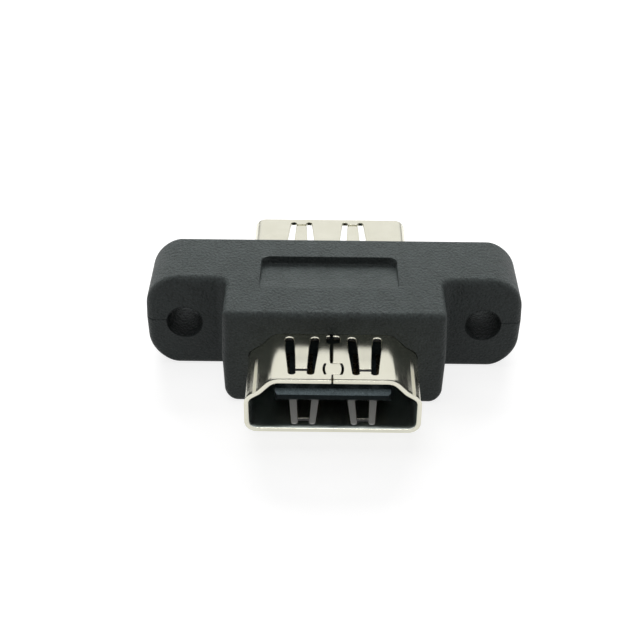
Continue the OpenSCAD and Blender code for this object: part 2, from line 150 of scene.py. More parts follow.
def clean(piece, merge=1e-7):
    """Merges doubled points and turns the faces outwards."""
    bm = bmesh.new()
    bm.from_mesh(piece.data)
    bmesh.ops.remove_doubles(bm, verts=bm.verts, dist=merge)
    bmesh.ops.recalc_face_normals(bm, faces=bm.faces)
    bm.to_mesh(piece.data)
    bm.free()


def shade(piece, angle=math.radians(32)):
    """Smooth shading with sharp edges above the angle, and normals weighted by face area."""
    bm = bmesh.new()
    bm.from_mesh(piece.data)
    for face in bm.faces:
        face.smooth = True
    for edge in bm.edges:
        edge.smooth = not (len(edge.link_faces) == 2 and edge.calc_face_angle(0.0) > angle)
    bm.to_mesh(piece.data)
    bm.free()
    weighted = piece.modifiers.new("weighted", "WEIGHTED_NORMAL")
    weighted.keep_sharp = True
    weighted.weight = 80


def cut(piece, cutters):
    """Takes the cutters out of the piece, one after the other."""
    for cutter in cutters:
        boolean = piece.modifiers.new("cut", "BOOLEAN")
        boolean.operation = "DIFFERENCE"
        boolean.solver = "EXACT"
        boolean.object = cutter
    bpy.context.view_layer.update()
    evaluated = piece.evaluated_get(bpy.context.evaluated_depsgraph_get())
    mesh = bpy.data.meshes.new_from_object(evaluated)
    piece.modifiers.clear()
    piece.data = mesh
    for cutter in cutters:
        bpy.data.objects.remove(cutter)
    clean(piece, 1e-6)


# ---- moulded body ----
EDGE_STEPS, EAR_STEPS, HOLE_SIDES = 7, 14, 72
# The rounding of a cut's edge stops just short of flat, so that no two rings meet
ROUND_STEPS, ROUND_END = 5, math.radians(84)
HOLE_EDGE_R, SOCKET_EDGE_R, SOCKET_GAP = 0.14, 0.1, 0.02
# How far a cutter stands out of the body
OVERSHOOT = 1


def fall(r, z):
    """How far an edge rounded with r lies inside its straight side at height z."""
    past = max(0.0, abs(z) - (BODY_H / 2 - r))
    return r - math.sqrt(max(0.0, r * r - past * past))


def body_ring(z, groove=0.0):
    """The T from above at height z. The mould's taper leaves the panel face flat."""
    taper = abs(z - PARTING_RISE) * math.tan(DRAFT) + groove
    ear = FLANGE_W / 2 - fall(EAR_R, z) + fall(EDGE_R, z)
    block = BLOCK_W / 2 - fall(BLOCK_FOOT_R if z < 0 else EDGE_R, z) + fall(EDGE_R, z)
    corners = [
        (ear, taper), (-ear, taper), (-ear, -FLANGE_T), (-block, -FLANGE_T),
        (-block, -FRONT_FACE), (block, -FRONT_FACE), (block, -FLANGE_T), (ear, -FLANGE_T),
    ]
    radii = [CORNER_R] * 8
    radii[3] = radii[6] = INNER_CORNER_R
    return [(p.x, p.y, z) for p in outline(corners, radii, -fall(EDGE_R, z) - taper, EDGE_STEPS)]


def body_levels():
    """Heights of the rings, below and above the parting line."""
    half = BODY_H / 2
    top = math.asin((EAR_R - EDGE_R) / EAR_R)
    upper = [half - EAR_R + EAR_R * math.sin(top * k / EAR_STEPS) for k in range(EAR_STEPS)]
    for k in range(EDGE_STEPS + 1):
        upper.append(half - EDGE_R + EDGE_R * math.sin(math.pi / 2 * k / EDGE_STEPS))
    return [-z for z in reversed(upper)], upper


def rounding(r):
    """Steps round the edge of a cut, from its wall to the face, as (rise, spread)."""
    angles = [ROUND_END * k / ROUND_STEPS for k in range(ROUND_STEPS + 1)]
    return [(r * math.sin(a), r * (1 - math.cos(a))) for a in angles]


def socket_cutter(depth, place):
    """The cut for a shell, drawn along +Z, whose end at z = depth opens by a rounded edge."""
    corners, radii = opening()
    wall, start = SHEET_T + SOCKET_GAP, depth - SOCKET_EDGE_R
    levels = [(0, wall)]
    levels += [(start + rise, wall + spread) for rise, spread in rounding(SOCKET_EDGE_R)]
    rings = [[(p.x, p.y, z) for p in outline(corners, radii, d)] for z, d in levels]
    rings.append([(x, y, depth + OVERSHOOT) for x, y, z in rings[-1]])
    piece = ring_mesh("socket_cutter", rings)
    piece.data.transform(place)
    return piece


def along_y(x, y, flip):
    """Turns a cutter drawn along +Z so that it points to -Y, or to +Y where flip is set."""
    turn = Matrix.Rotation(math.radians(-90 if flip else 90), 4, "X")
    return Matrix.Translation(Vector((x, y, SOCKET_RISE)) * MM) @ turn


def circle(r):
    angles = [2 * math.pi * k / HOLE_SIDES for k in range(HOLE_SIDES)]
    return [(r * math.cos(a), r * math.sin(a)) for a in angles]


def hole_cutter(x):
    """A screw hole with a small rounding at both faces."""
    start = FLANGE_T / 2 - HOLE_EDGE_R
    profile = [(start + rise, spread) for rise, spread in reversed(rounding(HOLE_EDGE_R))]
    profile.insert(0, (FLANGE_T / 2 + OVERSHOOT, profile[0][1]))
    profile += [(-y, d) for y, d in reversed(profile)]
    rings = [[(px, y, pz) for px, pz in circle(HOLE_R + d)] for y, d in profile]
    piece = ring_mesh("hole_cutter", rings)
    piece.data.transform(Matrix.Translation(Vector((x, -FLANGE_T / 2, 0)) * MM))
    clean(piece)
    return piece


def recess_cutter():
    """The label recess: back wall with a rounded foot, tapered sides, floor rising to the front."""
    foot_r, edge_r, front_r = 0.12, 0.06, 0.35
    inward, spread = 0.12, 0.14
    front_step = 0.07
    back, front, top = -LABEL_BACK, -LABEL_BACK - LABEL_L, BODY_H / 2
    bottom = top - LABEL_DEPTH
    levels = []
    for k in range(ROUND_STEPS + 1):
        a = math.pi / 2 * k / ROUND_STEPS
        levels.append((bottom + foot_r * (1 - math.cos(a)), foot_r * (math.sin(a) - 1)))
    levels += [(top - edge_r + rise, d) for rise, d in rounding(edge_r)]
    levels.append((top + OVERSHOOT, levels[-1][1]))
    radii = [LABEL_R, LABEL_R, front_r, front_r]
    rings = []
    for z, d in levels:
        half_w = LABEL_W / 2 - inward + spread * min(1.0, (z - bottom) / LABEL_DEPTH)
        plan = [(half_w, back), (-half_w, back), (-half_w, front), (half_w, front)]
        rings.append([(p.x + LABEL_SHIFT, p.y, z) for p in outline(plan, radii, d)])
    piece = ring_mesh("recess_cutter", rings)
    low = Vector((0, back, bottom)) * MM
    slope = (Vector((0, front, top - front_step)) * MM - low).normalized()
    bm = bmesh.new()
    bm.from_mesh(piece.data)
    made = bmesh.ops.bisect_plane(
        bm, geom=bm.verts[:] + bm.edges[:] + bm.faces[:],
        plane_co=low, plane_no=Vector((0, slope.z, -slope.y)), clear_inner=True,
    )
    rim = [e for e in made["geom_cut"] if isinstance(e, bmesh.types.BMEdge)]
    bmesh.ops.edgeloop_fill(bm, edges=rim)
    bm.to_mesh(piece.data)
    bm.free()
    clean(piece)
    return piece


def opening():
    """The receptacle's opening, narrow side up: its corners, anticlockwise, and their radii."""
    half_w, half_h = OPENING_W / 2, OPENING_H / 2
    shoulder = UPRIGHT_H - half_h
    corners = [
        (-half_w, -half_h), (half_w, -half_h), (half_w, shoulder),
        (half_w - SHOULDER_RUN, shoulder + SHOULDER_RISE), (NARROW_W / 2, half_h),
        (-NARROW_W / 2, half_h), (-half_w + SHOULDER_RUN, shoulder + SHOULDER_RISE),
        (-half_w, shoulder),
    ]
    radii = [
        WIDE_CORNER_R, WIDE_CORNER_R, SHOULDER_R, WAIST_R,
        NARROW_CORNER_R, NARROW_CORNER_R, WAIST_R, SHOULDER_R,
    ]
    return corners, radii


def make_housing():
    lower, upper = body_levels()
    rings = [body_ring(z) for z in lower]
    rings.append(body_ring(PARTING_RISE - PARTING_HALF_H))
    # The parting groove runs only outside the screw holes
    plain, grooved = body_ring(PARTING_RISE), body_ring(PARTING_RISE, 2 * PARTING_DEPTH)
    rings.append([q if abs(p[0]) > HOLE_SPACING / 2 else p for p, q in zip(plain, grooved)])
    rings.append(body_ring(PARTING_RISE + PARTING_HALF_H))
    rings += [body_ring(z) for z in upper]
    body = ring_mesh("moulded_body", rings)
    front_depth, rear_depth = FRONT_FACE - (FRONT_MOUTH - SHELL_L), SHELL_L - REAR_REACH
    side_shift = 2 * max(abs(FRONT_SHIFT), abs(REAR_SHIFT))
    core_w = OPENING_W + 2 * SHEET_T + 2 * CORE_MARGIN + side_shift
    core_h = OPENING_H + 2 * SHEET_T + 2 * CORE_MARGIN + 2 * abs(SOCKET_RISE)
    x, y0, y1 = core_w / 2, -FRONT_FACE + CORE_WALL_Y, -CORE_WALL_Y
    core = [[(-x, y0, z), (x, y0, z), (x, y1, z), (-x, y1, z)] for z in (-core_h / 2, core_h / 2)]
    cut(body, [
        hole_cutter(-HOLE_SPACING / 2),
        hole_cutter(HOLE_SPACING / 2),
        recess_cutter(),
        socket_cutter(front_depth, along_y(FRONT_SHIFT, -FRONT_FACE + front_depth, False)),
        socket_cutter(rear_depth, along_y(REAR_SHIFT, -rear_depth, True)),
        ring_mesh("core_cutter", core),
    ])
    shade(body)
    return body


# ---- stamped shell: a flat blank with rounded cut edges, folded round the opening ----
# Rounding of the cut edges, wide on the outside and narrow on the inside
INNER_CUT_R, OUTER_CUT_R, CUT_STEPS = 0.05, 0.1, 4
# At the lock and the springs' tips the gaps are too narrow for more than this share of it
NARROW_SHARE = 0.3
# Corners of the blank in the flat
MOUTH_R, SEAM_R, LOCK_CORNER_R, SLIT_END_R, TIP_CORNER_R = 0.12, 0.08, 0.06, 0.09, 0.12
RELIEF_ENTRY_R, RELIEF_CORNER_R = 0.16, 0.6 * (END_SHARE * RELIEF_L)
LOCK_STEPS, SLIT_STEPS = 10, 12
# Mesh: longest stretch of an edge, step along the bends, columns over the flats and cell of the
# grid that keeps added points apart and off the edges
EDGE_STEP, BEND_STEP, COLUMNS, CELL = 0.22, 0.1, 80, 0.07


class Path:
    """The opening's outline as straight stretches and arcs, from the middle of the narrow side."""

    def __init__(self):
        corners, radii = opening()
        first = 5
        bends = list(zip(neighbours([Vector(p) for p in corners]), radii))
        here = Vector((0, OPENING_H / 2))
        self.parts, self.starts, length = [], [], 0.0
        for (a, b, c), r in bends[first:] + bends[:first]:
            bend, turn, centre, n1, n2 = corner(a, b, c, r)
            tangent = centre + bend * r * n1
            self.starts.append(length)
            self.parts.append(("line", here, unit(b - a), n1))
            length += (tangent - here).length
            self.starts.append(length)
            self.parts.append(("arc", centre, bend, r, math.atan2(n1.y, n1.x)))
            length += r * turn
            here = centre + bend * r * n2
        self.starts.append(length)
        self.parts.append(("line", here, Vector((-1, 0)), Vector((0, 1))))
        self.length = length + here.x

    def at(self, u, t):
        """The point at length u along the outline, t outside it."""
        k = max(0, bisect.bisect_right(self.starts, u) - 1)
        part, along = self.parts[k], u - self.starts[k]
        if part[0] == "line":
            return part[1] + along * part[2] + t * part[3]
        centre, bend, r, start = part[1:]
        g = start + bend * along / r
        return centre + (bend * r + t) * Vector((math.cos(g), math.sin(g)))

    def bends(self, step):
        """Places along the arcs, a step apart or less."""
        places = []
        for k, part in enumerate(self.parts):
            if part[0] == "arc":
                a, b = self.starts[k], self.starts[k + 1]
                count = max(3, math.ceil((b - a) / step))
                places += [a + (b - a) * i / count for i in range(count + 1)]
        return places


def spring_window(u0, start, slot_w):
    """The U-shaped cut round a spring, in the flat: corners and radii."""
    root_w, tip_w = slot_w

    def half(s):
        return (SPRING_TIP_W + (SPRING_ROOT_W - SPRING_TIP_W) * (s - start) / SLOT_L) / 2

    def outer(s):
        return half(s) + tip_w + (root_w - tip_w) * (s - start) / SLOT_L

    land, tip, root = start + TIP_INSET, start + TIP_INSET + TIP_CUT, start + SLOT_L
    corners = [
        (-outer(root), root), (-outer(start), start), (-half(start), start), (-half(land), land),
        (half(land), land), (half(start), start), (outer(start), start), (outer(root), root),
        (half(root), root), (half(tip), tip), (-half(tip), tip), (-half(root), root),
    ]
    rw, tw, small = END_SHARE * root_w, END_SHARE * tip_w, TIP_CORNER_R
    radii = [rw, tw, tw, small, small, tw, tw, rw, rw, small, small, rw]
    return [(u0 + x, s) for x, s in corners], radii


def rounded_loop(corners, radii):
    """Corners with radii as an anticlockwise loop of points; they may run either way round."""
    points = [Vector(p) for p in corners]
    if sum(a.cross(b) for a, b, c in neighbours(points)) < 0:
        points, radii = points[::-1], radii[::-1]
    return outline(points, radii, steps=6)


def divided(loop, longest):
    """The loop with points added, so that no stretch is longer than that."""
    points = []
    for a, b in zip(loop, loop[1:] + loop[:1]):
        count = max(1, math.ceil((b - a).length / longest))
        points += [a.lerp(b, k / count) for k in range(count)]
    return points


def moved(loop, distances):
    """The anticlockwise loop moved outwards, each point by its own distance."""
    ring = []
    for (a, b, c), d in zip(neighbours(loop), distances):
        n1, n2 = outward(b - a), outward(c - b)
        ring.append(b + d * (n1 + n2) / (1 + n1.dot(n2)))
    return ring


def arc_points(centre, r, a0, a1, count):
    angles = [a0 + (a1 - a0) * k / count for k in range(count + 1)]
    return [(centre[0] + r * math.cos(a), centre[1] + r * math.sin(a)) for a in angles]


def blank_loops(length, springs):
    """The flat blank's outer loop and its holes, as anticlockwise loops."""
    joint, gap, front_gap = SEAM_JOINT_W / 2, SEAM_W / 2, FRONT_SEAM_W / 2
    s0, s1 = RELIEF_Z - RELIEF_L / 2, RELIEF_Z + RELIEF_L / 2
    centre = (LOCK_W / 2 - LOCK_R, LOCK_Z)

    def end(side):
        """One end of the blank from the mouth back, as ((x, s), radius)."""
        r = LOCK_R + side * gap
        reach = LOCK_L / 2 + side * joint
        angle = math.asin(reach / r)
        arc = arc_points(centre, r, -angle, angle, LOCK_STEPS)
        front_x, rear_x = FRONT_SEAM_X + side * front_gap, REAR_SEAM_X + side * gap
        relief_x = side * RELIEF_W / 2
        relief_r = min(RELIEF_CORNER_R, abs(relief_x - rear_x) - (RELIEF_ENTRY_R + 0.01))
        points = [((front_x, 0), MOUTH_R), ((front_x, LOCK_Z - reach), SEAM_R)]
        points += [(p, LOCK_CORNER_R if k in (0, LOCK_STEPS) else 0) for k, p in enumerate(arc)]
        points += [((rear_x, LOCK_Z + reach), SEAM_R), ((rear_x, s0), RELIEF_ENTRY_R)]
        points += [((relief_x, s0), relief_r), ((relief_x, s1), relief_r)]
        return points + [((rear_x, s1), RELIEF_ENTRY_R), ((rear_x, SHELL_L), MOUTH_R)]

    left = [((-x, s), r) for (x, s), r in end(-1)]
    right = [((length - x, s), r) for (x, s), r in end(1)]
    outer = rounded_loop(*zip(*(left + right[::-1])))
    holes = [rounded_loop(*spring_window(*spring)) for spring in springs]
    # The far side of the round lock is a slit
    angle = math.asin(LOCK_L / 2 / LOCK_R)
    slit = arc_points(centre, LOCK_R + gap, -angle, angle, SLIT_STEPS)
    slit += arc_points(centre, LOCK_R - gap, angle, -angle, SLIT_STEPS)
    ends = (0, SLIT_STEPS, SLIT_STEPS + 1, 2 * SLIT_STEPS + 1)
    holes.append(rounded_loop(slit, [SLIT_END_R if k in ends else 0 for k in range(len(slit))]))
    return outer, holes


def inside(p, loop):
    hit = False
    for a, b in zip(loop, loop[1:] + loop[:1]):
        if (a.y > p.y) != (b.y > p.y) and p.x < a.x + (p.y - a.y) / (b.y - a.y) * (b.x - a.x):
            hit = not hit
    return hit


def bow(u, s, springs):
    """How far a spring has left the wall at a place in the flat."""
    for u0, start, (root_w, tip_w) in springs:
        tip, root = start + TIP_INSET + TIP_CUT, start + SLOT_L - root_w / 2
        share = (s - start) / SLOT_L
        half = (SPRING_TIP_W + (SPRING_ROOT_W - SPRING_TIP_W) * share) / 2
        reach = half + (tip_w + (root_w - tip_w) * share) / 2
        if abs(u - u0) < reach and tip - TIP_CUT / 2 < s < root:
            along = min(1.0, (root - s) / (root - tip))
            return SPRING_BOW * (1 - math.cos(2 * math.pi * along)) / 2
    return 0.0


def cell_of(p):
    return round(p.x / CELL), round(p.y / CELL)


def near_cells(loops):
    """Cells of the grid that the loops run through."""
    cells = set()
    for loop in loops:
        for a, b in zip(loop, loop[1:] + loop[:1]):
            count = max(1, math.ceil((b - a).length / CELL * 2))
            cells.update(cell_of(a.lerp(b, k / count)) for k in range(count))
    return cells


def face_points(path, springs):
    """Points over the flat blank: dense at the bends and the mouth, three across each spring."""
    first_row, rows_l, rows, bend_gap = 0.6, SHELL_L - 0.85, 22, 0.15
    spring_gap, spring_l, spring_rows, spring_x = 0.2, SLOT_L - 1.2, 16, 0.25
    bends = path.bends(BEND_STEP)
    flats = [path.length * k / COLUMNS for k in range(1, COLUMNS)]
    flats = [u for u in flats if min(abs(u - v) for v in bends) > bend_gap]
    depths = [0.17 + CELL * k for k in range(4)]
    depths += [first_row + rows_l * k / rows for k in range(rows + 1)]
    points = [Vector((u, s)) for s in depths for u in bends + flats]
    for u0, start, slot_w in springs:
        for k in range(spring_rows + 1):
            s = start + TIP_INSET + TIP_CUT + spring_gap + spring_l * k / spring_rows
            points += [Vector((u0 + x, s)) for x in (-spring_x, 0.0, spring_x)]
    return points


def free_points(points, loops):
    """Those points that lie clear of the loops and of each other, nudged out of straight rows."""
    nudge, turn = 0.012, 2.7
    taken, free = near_cells(loops), []
    for k, p in enumerate(points):
        p.y += nudge * math.sin(turn * k)
        i, j = cell_of(p)
        if not any((i + di, j + dj) in taken for di in (-1, 0, 1) for dj in (-1, 0, 1)):
            taken.add((i, j))
            free.append(p)
    return free


def filled(points, edges, outer, holes):
    """Triangles over the points, within the outer loop and outside the holes, as their numbers."""
    done = delaunay_2d_cdt(points, edges, [], 0, 1e-6)
    origin = [o[0] if o else None for o in done[3]]
    triangles = []
    for face in done[2]:
        a, b, c = (done[0][i] for i in face)
        middle = (a + b + c) / 3
        straight = max(a.y, b.y, c.y) - min(a.y, b.y, c.y) < 1e-4
        if straight or any(origin[i] is None for i in face):
            continue
        if inside(middle, outer) and not any(inside(middle, hole) for hole in holes):
            triangles.append([origin[i] for i in face])
    return triangles


def cut_profile():
    """A rounded cut edge as (face, rise, inset), from the inner face to the outer one."""
    angles = [math.pi / 2 * k / CUT_STEPS for k in range(CUT_STEPS + 1)]
    turns = [(math.cos(a), math.sin(a)) for a in angles]
    inner = [(0.0, INNER_CUT_R * (1 - c), INNER_CUT_R * (1 - d)) for c, d in turns]
    outer = [(SHEET_T, OUTER_CUT_R * (d - 1), OUTER_CUT_R * (1 - c)) for c, d in turns]
    return inner + outer


def cut_share(p, length, springs):
    """The rounding's share of its full size, small at the lock and at the springs' tips."""
    lock_reach, tip_half_w, tip_half_l, ramp_l = 1.0, 0.5, 0.2, 0.15
    seam_x = min(abs(p.x), abs(p.x - length))
    off = [max(seam_x, abs(p.y - LOCK_Z)) - lock_reach]
    for u0, start, slot_w in springs:
        tip = start + TIP_INSET + TIP_CUT / 2
        off.append(max(abs(p.x - u0) - tip_half_w, abs(p.y - tip) - tip_half_l))
    return NARROW_SHARE + (1 - NARROW_SHARE) * max(0.0, min(1.0, min(off) / ramp_l))


def make_shell(name, spring_shift, flare, place):
    """A stamped shell. Its cut walls get material number 1 and its inner face number 2."""
    path = Path()
    wide_x = path.length / 2 + spring_shift
    springs = [
        (NARROW_SPRING_X, NARROW_SLOT_START, NARROW_SLOT_W),
        (path.length - NARROW_SPRING_X, NARROW_SLOT_START, NARROW_SLOT_W),
        (wide_x - WIDE_SPRING_X, WIDE_SLOT_START, WIDE_SLOT_W),
        (wide_x + WIDE_SPRING_X, WIDE_SLOT_START, WIDE_SLOT_W),
    ]
    outer, holes = blank_loops(path.length, springs)
    # The plate runs round the shell's two ends; the cut walls between them get material 1, which on
    # the front shell is painted shade
    shade_start, shade_end = 0.15, SHELL_L - 0.3
    verts, faces, cut_walls, inner_faces = [], [], [], []

    def add(p, t):
        mouth = flare * max(0.0, 1 - p.y / FLARE_L) ** 2
        q = path.at(p.x, t - bow(p.x, p.y, springs) + mouth)
        verts.append(place(q.x, q.y, p.y))
        return len(verts) - 1

    # The cut edges, from the inner face to the outer one
    rims = ([], [])
    for number, loop in enumerate([outer] + holes):
        loop = divided(loop, EDGE_STEP)
        way = 1 if number else -1
        shares = [cut_share(p, path.length, springs) for p in loop]
        rings = []
        for face_t, rise, inset in cut_profile():
            ring = moved(loop, [way * inset * share for share in shares])
            ids = [add(p, face_t + rise * share) for p, share in zip(ring, shares)]
            rings.append((ring, ids))
        rims[0].append(rings[0])
        rims[1].append(rings[-1])
        m = len(loop)
        for k, ((_, low), (_, high)) in enumerate(zip(rings, rings[1:])):
            if k == CUT_STEPS:
                shaded_wall = [number > 0 or shade_start < p.y < shade_end for p in loop]
                cut_walls += [len(faces) + i for i in range(m) if shaded_wall[i]]
            faces += [[low[i], low[(i + 1) % m], high[(i + 1) % m], high[i]] for i in range(m)]

    # The inner and the outer face between them
    for side, t in enumerate((0.0, SHEET_T)):
        points, index, edges = [], [], []
        for ring, ids in rims[side]:
            first, m = len(points), len(ring)
            points += ring
            index += ids
            edges += [(first + i, first + (i + 1) % m) for i in range(m)]
        loops = [ring for ring, ids in rims[side]]
        extra = free_points(face_points(path, springs), loops)
        index += [add(p, t) for p in extra]
        triangles = filled(points + extra, edges, loops[0], loops[1:])
        if side == 0:
            inner_faces += range(len(faces), len(faces) + len(triangles))
        faces += [[index[i] for i in triangle] for triangle in triangles]

    piece = mesh_object(name, verts, faces)
    for number, chosen in enumerate((cut_walls, inner_faces), 1):
        for i in chosen:
            piece.data.polygons[i].material_index = number
    bm = bmesh.new()
    bm.from_mesh(piece.data)
    bmesh.ops.remove_doubles(bm, verts=bm.verts, dist=2e-7)
    bmesh.ops.delete(bm, geom=[v for v in bm.verts if not v.link_faces], context="VERTS")
    bmesh.ops.recalc_face_normals(bm, faces=bm.faces)
    bm.to_mesh(piece.data)
    bm.free()
    shade(piece, math.radians(50))
    return piece


def at_front(x, y, s):
    return (x + FRONT_SHIFT, -FRONT_MOUTH + s, SOCKET_RISE + y)


def at_rear(x, y, s):
    return (x + REAR_SHIFT, REAR_REACH - s, SOCKET_RISE - y)


# ---- materials ----
def material(name):
    made = bpy.data.materials.new(name)
    made.use_nodes = True
    return made, made.node_tree, made.node_tree.nodes["Principled BSDF"]


def feed(tree, socket, source):
    """Links the socket to an output, or sets it to a number or a colour."""
    if isinstance(source, bpy.types.NodeSocket):
        tree.links.new(source, socket)
    else:
        socket.default_value = source


def wire(tree, made, **values):
    """Feeds the node's inputs by name, with underscores for the spaces."""
    for key, value in values.items():
        feed(tree, made.inputs[key.replace("_", " ")], value)


def node(tree, kind, **values):
    """A new node whose inputs are fed by name, and whose other settings are set."""
    made = tree.nodes.new(kind)
    for key, value in values.items():
        if key.replace("_", " ") in made.inputs:
            wire(tree, made, **{key: value})
        else:
            setattr(made, key, value)
    return made


def grey(v):
    return (v, v, v, 1)


def ramp(tree, source, low, high, start=0.3, end=0.7):
    """Colours or levels that run from low to high while the source runs from start to end."""
    made = node(tree, "ShaderNodeValToRGB", Fac=source)
    for element, place, value in zip(made.color_ramp.elements, (start, end), (low, high)):
        element.position = place
        element.color = grey(value) if isinstance(value, float) else (*value, 1)
    return made.outputs["Color"]


def fade(tree, source, low, high, bottom=0.0, top=1.0, kind="SMOOTHSTEP"):
    """bottom while the source is at low, top while it is at high, smooth in between."""
    made = node(
        tree, "ShaderNodeMapRange", interpolation_type=kind, Value=source,
        From_Min=low, From_Max=high, To_Min=bottom, To_Max=top,
    )
    return made.outputs[0]


def maths(tree, operation, *sources):
    """A math node whose inputs are outputs of other nodes or numbers."""
    made = node(tree, "ShaderNodeMath", operation=operation)
    for socket, source in zip(made.inputs, sources):
        feed(tree, socket, source)
    return made.outputs[0]


def blend(tree, share, low, high, kind="FLOAT"):
    """A mix of two levels, or of two colours where kind is RGBA."""
    made = node(tree, "ShaderNodeMix", data_type=kind, Factor=share)
    first, out = (2, 0) if kind == "FLOAT" else (6, 2)
    feed(tree, made.inputs[first], low)
    feed(tree, made.inputs[first + 1], high)
    return made.outputs[out]


def coordinate(tree, kind):
    return node(tree, "ShaderNodeTexCoord").outputs[kind]


def split(tree, vector):
    """The vector's X, Y and Z."""
    return tuple(node(tree, "ShaderNodeSeparateXYZ", Vector=vector).outputs)


def noise(tree, scale, detail=3, rough=0.6, stretch=None):
    source = coordinate(tree, "Object")
    if stretch:
        source = node(tree, "ShaderNodeMapping", Vector=source, Scale=stretch).outputs["Vector"]
    made = node(
        tree, "ShaderNodeTexNoise", Vector=source, Scale=scale, Detail=detail, Roughness=rough
    )
    return made.outputs["Fac"]


def bump(tree, shader, layers):
    """Stacks height layers (source, strength, distance in metres) into the shader's normal."""
    normal = None
    for source, strength, distance in layers:
        made = node(tree, "ShaderNodeBump", Strength=strength, Distance=distance, Height=source)
        if normal:
            wire(tree, made, Normal=normal)
        normal = made.outputs["Normal"]
    wire(tree, shader, Normal=normal)


def painted_hole_shade(tree):
    """1 on the walls of the two screw holes, where shade is painted in as a darker colour and a
    weaker reflection.
    """
    wall, face = (HOLE_R + 0.03) * MM, (HOLE_R + 0.15) * MM
    x, y, z = split(tree, coordinate(tree, "Object"))
    side = maths(tree, "SUBTRACT", maths(tree, "ABSOLUTE", x), HOLE_SPACING / 2 * MM)
    across, up = maths(tree, "MULTIPLY", side, side), maths(tree, "MULTIPLY", z, z)
    return fade(tree, maths(tree, "SQRT", maths(tree, "ADD", across, up)), face, wall)


def body_plastic():
    made, tree, shader = material("textured_black_plastic")
    stretch = (1, 0.62, 1)
    grain, cloud = noise(tree, 5200, 2, 0.5, stretch), noise(tree, 700, 4, 0.6, stretch)
    both = blend(tree, 0.3, grain, cloud)
    colour = ramp(tree, both, (0.023, 0.028, 0.027), (0.059, 0.07, 0.069), 0.32, 0.68)
    holes = painted_hole_shade(tree)
    # Inside the screw holes the colour is painted darker and the reflection weaker: painted shade
    wire(
        tree, shader,
        Base_Color=blend(tree, holes, colour, (0.021, 0.025, 0.025, 1), "RGBA"),
        Roughness=ramp(tree, grain, 0.46, 0.6),
        Specular_IOR_Level=fade(tree, holes, 0.0, 1.0, 0.27, 0.13, "LINEAR"),
    )
    bump(tree, shader, [(cloud, 0.1, 0.0001), (grain, 1.0, 0.00016)])
    return made


def shoulder_line(tree):
    """Where the folding tool left a satin line: along the upper shoulders, towards the mouth."""
    line_x, slope = 6.72 * MM, 0.84
    x, y, z = split(tree, coordinate(tree, "Object"))
    facing = split(tree, coordinate(tree, "Normal"))[2]
    off = maths(tree, "ABSOLUTE", maths(tree, "SUBTRACT", maths(tree, "ABSOLUTE", x), line_x))
    turned = maths(tree, "ABSOLUTE", maths(tree, "SUBTRACT", facing, slope))
    across = fade(tree, off, 0.19 * MM, 0.08 * MM)
    along = fade(tree, y, -14.5 * MM, -16.8 * MM)
    shoulder = fade(tree, turned, 0.1, 0.06)
    upper = fade(tree, z, 0.0, 0.5 * MM)
    line = maths(tree, "MULTIPLY", across, along)
    return maths(tree, "MULTIPLY", maths(tree, "MULTIPLY", line, shoulder), upper)


def nickel(name, dark, light, polished, dull):
    """Nickel plate, its colour from dark to light and its roughness from polished to dull."""
    made, tree, shader = material(name)
    drawn, cloud = noise(tree, 2600, stretch=(1, 0.12, 1)), noise(tree, 420, 4)
    gloss = ramp(tree, blend(tree, 0.5, drawn, cloud), polished, dull)
    wire(
        tree, shader,
        Metallic=1.0,
        Base_Color=ramp(tree, cloud, dark, light),
        Roughness=blend(tree, shoulder_line(tree), gloss, 0.85),
    )
    bump(tree, shader, [(cloud, 0.05, 0.00005), (drawn, 0.06, 0.00001)])
    return made


def shaded_cut_walls():
    """The sheared walls of the stamping's slots, painted near-black as shade; only the front shell
    wears it.
    """
    made, tree, shader = material("cut_edge_painted_shade")
    cloud = noise(tree, 4000)
    wire(tree, shader, Metallic=1.0, Base_Color=ramp(tree, cloud, 0.06, 0.12), Roughness=0.5)
    bump(tree, shader, [(cloud, 0.3, 0.00001)])
    return made


def shaded_gilt():
    # Gold darkened to a dull brown: painted shade of the contacts deep inside the receptacles
    made, tree, shader = material("gold_plate_painted_shade")
    cloud = noise(tree, 3000)
    colour = ramp(tree, cloud, (0.16, 0.125, 0.07), (0.22, 0.175, 0.1))
    wire(tree, shader, Metallic=1.0, Base_Color=colour, Roughness=ramp(tree, cloud, 0.2, 0.32))
    bump(tree, shader, [(cloud, 0.1, 0.00001)])
    return made


def painted_bevel_sheen(tree):
    """Painted highlight: more reflection on the faces that slope both to an end and up or down, so
    a bevel shines brighter than the upright faces beside it.
    """
    x, y, z = split(tree, coordinate(tree, "Normal"))
    slant = maths(tree, "ABSOLUTE", maths(tree, "MULTIPLY", y, z))
    return fade(tree, slant, 0.2, 0.45, 0.08, 0.4, "LINEAR")


def smooth_plastic(name, low, high, rough, reflection_tint=(1, 1, 1, 1), bevel_sheen=False):
    made, tree, shader = material(name)
    grain, cloud = noise(tree, 5000), noise(tree, 900)
    wire(
        tree, shader,
        Base_Color=ramp(tree, cloud, low, high),
        Roughness=ramp(tree, grain, rough - 0.05, rough + 0.07),
        Specular_IOR_Level=painted_bevel_sheen(tree) if bevel_sheen else 0.5,
        Specular_Tint=reflection_tint,
    )
    bump(tree, shader, [(grain, 0.2, 0.00001)])
    return made


def dress(piece, *looks):
    """Gives the piece its looks, in the order of its faces' material numbers."""
    # Clearing would also reset the faces' numbers
    if piece.data.materials:
        piece.data.materials.clear()
    for look in looks:
        piece.data.materials.append(look)


plastic, shaded_cut_edge, shaded_gold = body_plastic(), shaded_cut_walls(), shaded_gilt()
plate = nickel("bright_nickel_plate", (0.745, 0.73, 0.61), (0.805, 0.79, 0.675), 0.15, 0.24)
